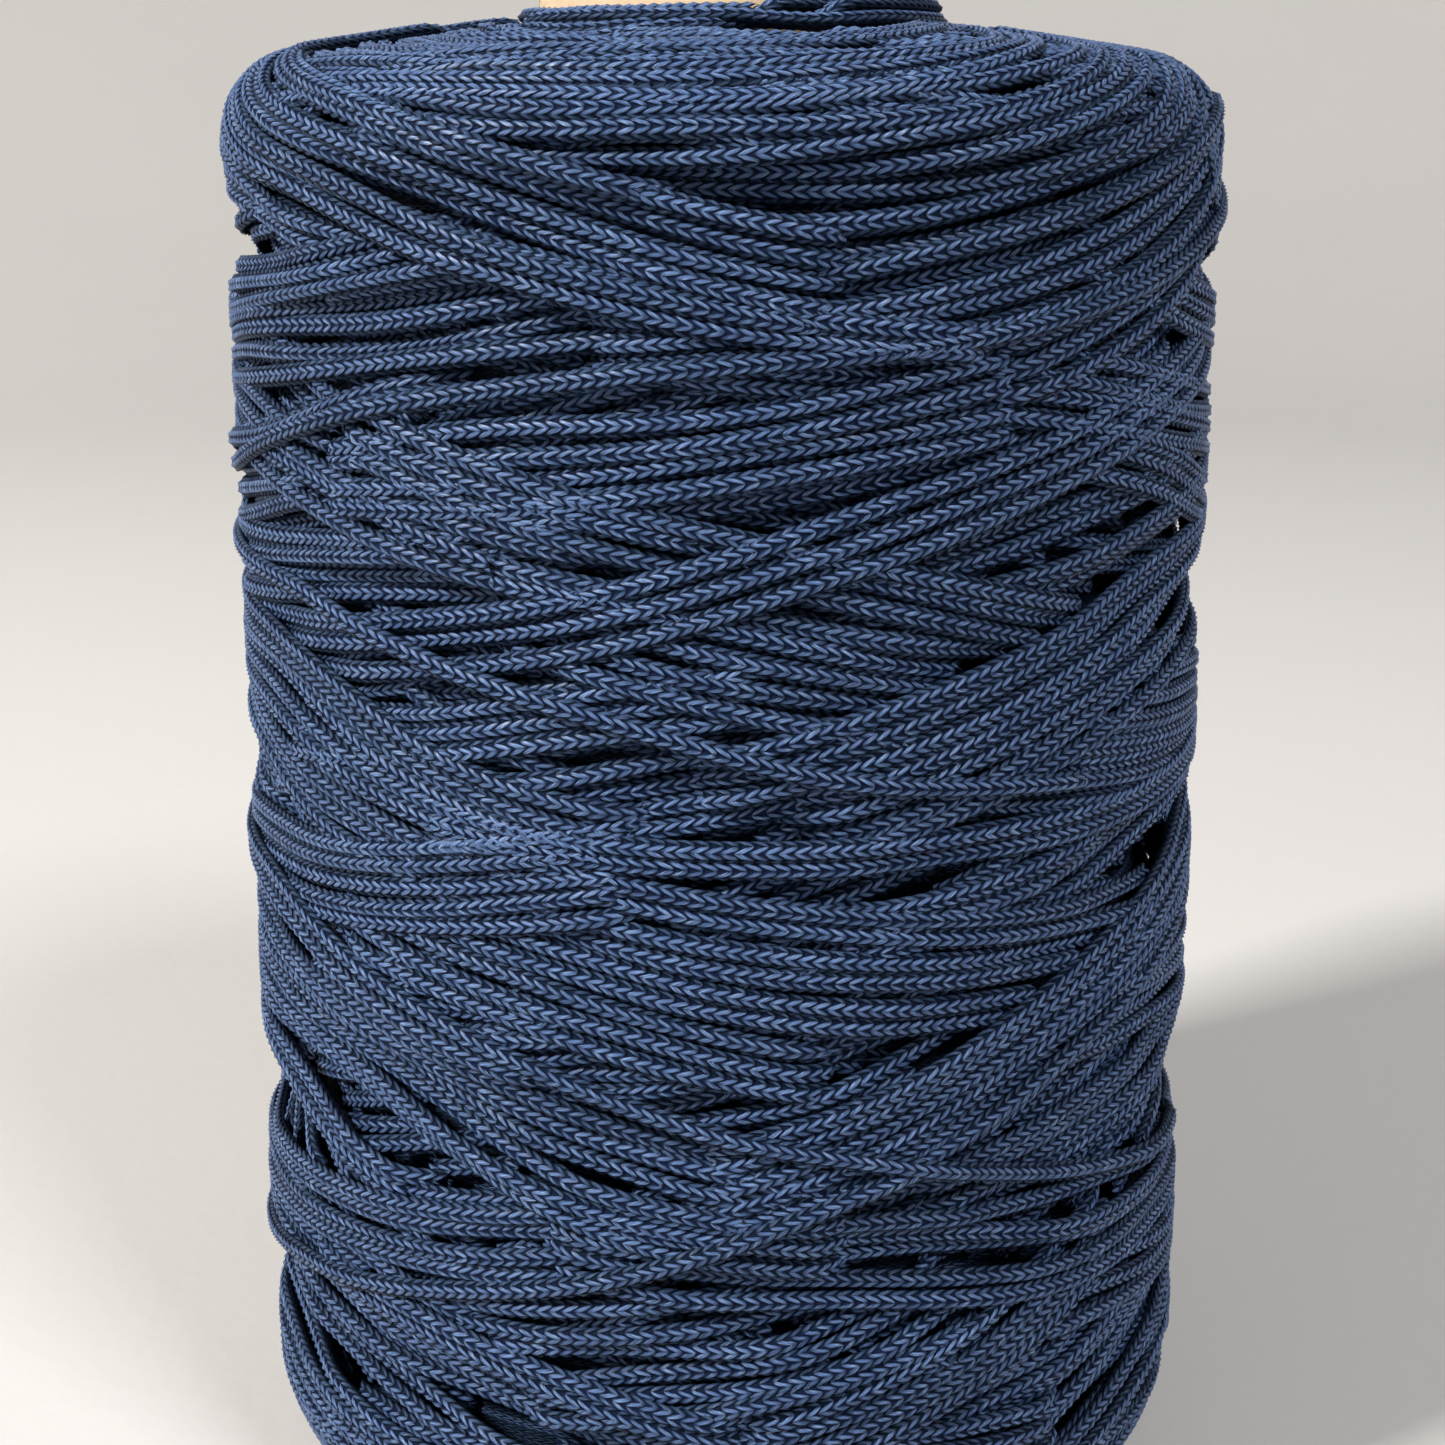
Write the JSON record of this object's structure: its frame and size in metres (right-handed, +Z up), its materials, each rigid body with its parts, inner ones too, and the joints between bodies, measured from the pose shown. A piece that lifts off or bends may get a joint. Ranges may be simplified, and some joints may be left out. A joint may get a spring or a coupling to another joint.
{
  "type": "spool of knitted cord",
  "caption": "Cylindrical cross-wound package of knitted cord with rounded shoulders, on a paperboard tube with a through bore.",
  "frame": {"origin": "centre of the lower end of the tube, on the surface that the package stands on", "axes": "+Z up along the tube's axis, towards the rim that stands proud of the winding"},
  "size_m": [0.14, 0.14, 0.218],
  "materials": {
    "liner_paper": "matte",
    "paperboard": "matte",
    "wrap_paper": "matte",
    "knitted_cord": "satin"
  },
  "bodies": {
    "root": {"tube_liner": "liner_paper", "tube_body": "paperboard", "tube_wrap": "wrap_paper", "first_layers": "knitted_cord", "middle_layers": "knitted_cord", "last_layers": "knitted_cord"}
  },
  "joints": []
}
